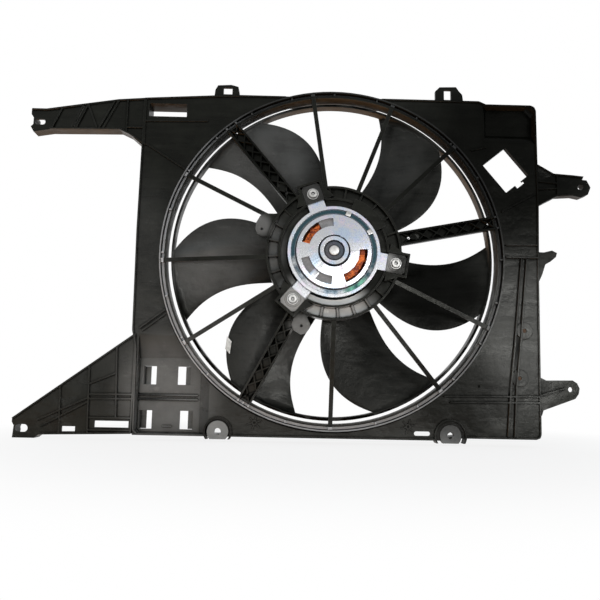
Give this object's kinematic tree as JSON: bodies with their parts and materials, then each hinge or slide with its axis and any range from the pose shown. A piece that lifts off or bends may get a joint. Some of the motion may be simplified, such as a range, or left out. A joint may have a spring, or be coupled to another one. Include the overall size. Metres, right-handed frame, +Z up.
{
  "type": "radiator cooling fan",
  "caption": "Electric radiator cooling fan: moulded shroud with ring, spokes and mounting arms, banded axial fan and brushed motor.",
  "frame": {"origin": "on the fan axis, in the plane of the shroud's edge that seals on the radiator", "axes": "+X to the right and +Z up as seen from the motor side; +Y along the fan axis, out of the radiator face, so the motor points to -Y"},
  "size_m": [0.6923, 0.0777, 0.4418],
  "materials": {
    "shroud_plastic": "glass-filled black, slightly glossy",
    "fan_plastic": "glass-filled dark grey",
    "zinc_steel": "zinc plated",
    "shield_steel": "zinc plated",
    "screw_steel": "zinc plated",
    "shaft_steel": "ground",
    "core_steel": "laminated",
    "bearing_bronze": "sintered",
    "copper": "enamelled wire",
    "brass": "pressed",
    "magnet": "ferrite",
    "rubber": "matt",
    "carbon": "carbon block",
    "card": "phenolic card",
    "clip_steel": "bright spring steel"
  },
  "bodies": {
    "housing": {"shroud": "shroud_plastic", "motor_can": "zinc_steel", "end_shield": "shield_steel", "motor_lugs": "zinc_steel", "mount_grommets": "rubber", "spacer_sleeves": "screw_steel", "motor_screws": "screw_steel", "front_bearing": "bearing_bronze", "rear_bearing": "bearing_bronze", "bearing_cap": "screw_steel", "magnets": "magnet", "brush_plate": "card", "brushes": "carbon", "brush_holders": "brass", "brush_springs": "clip_steel", "lead_cover": "shroud_plastic"},
    "rotor": {"armature_core": "core_steel", "windings": "copper", "commutator": "copper", "shaft": "shaft_steel", "thrust_washers": "shaft_steel", "fan": "fan_plastic", "hub_insert": "brass", "fan_washer": "screw_steel", "fan_nut": "screw_steel", "balance_clip": "clip_steel"}
  },
  "joints": [
    {"name": "fan_spin", "type": "hinge", "parent": "housing", "child": "rotor", "pos_m": [0, -0.03, 0], "axis": [0, -1, 0], "continuous": true}
  ]
}
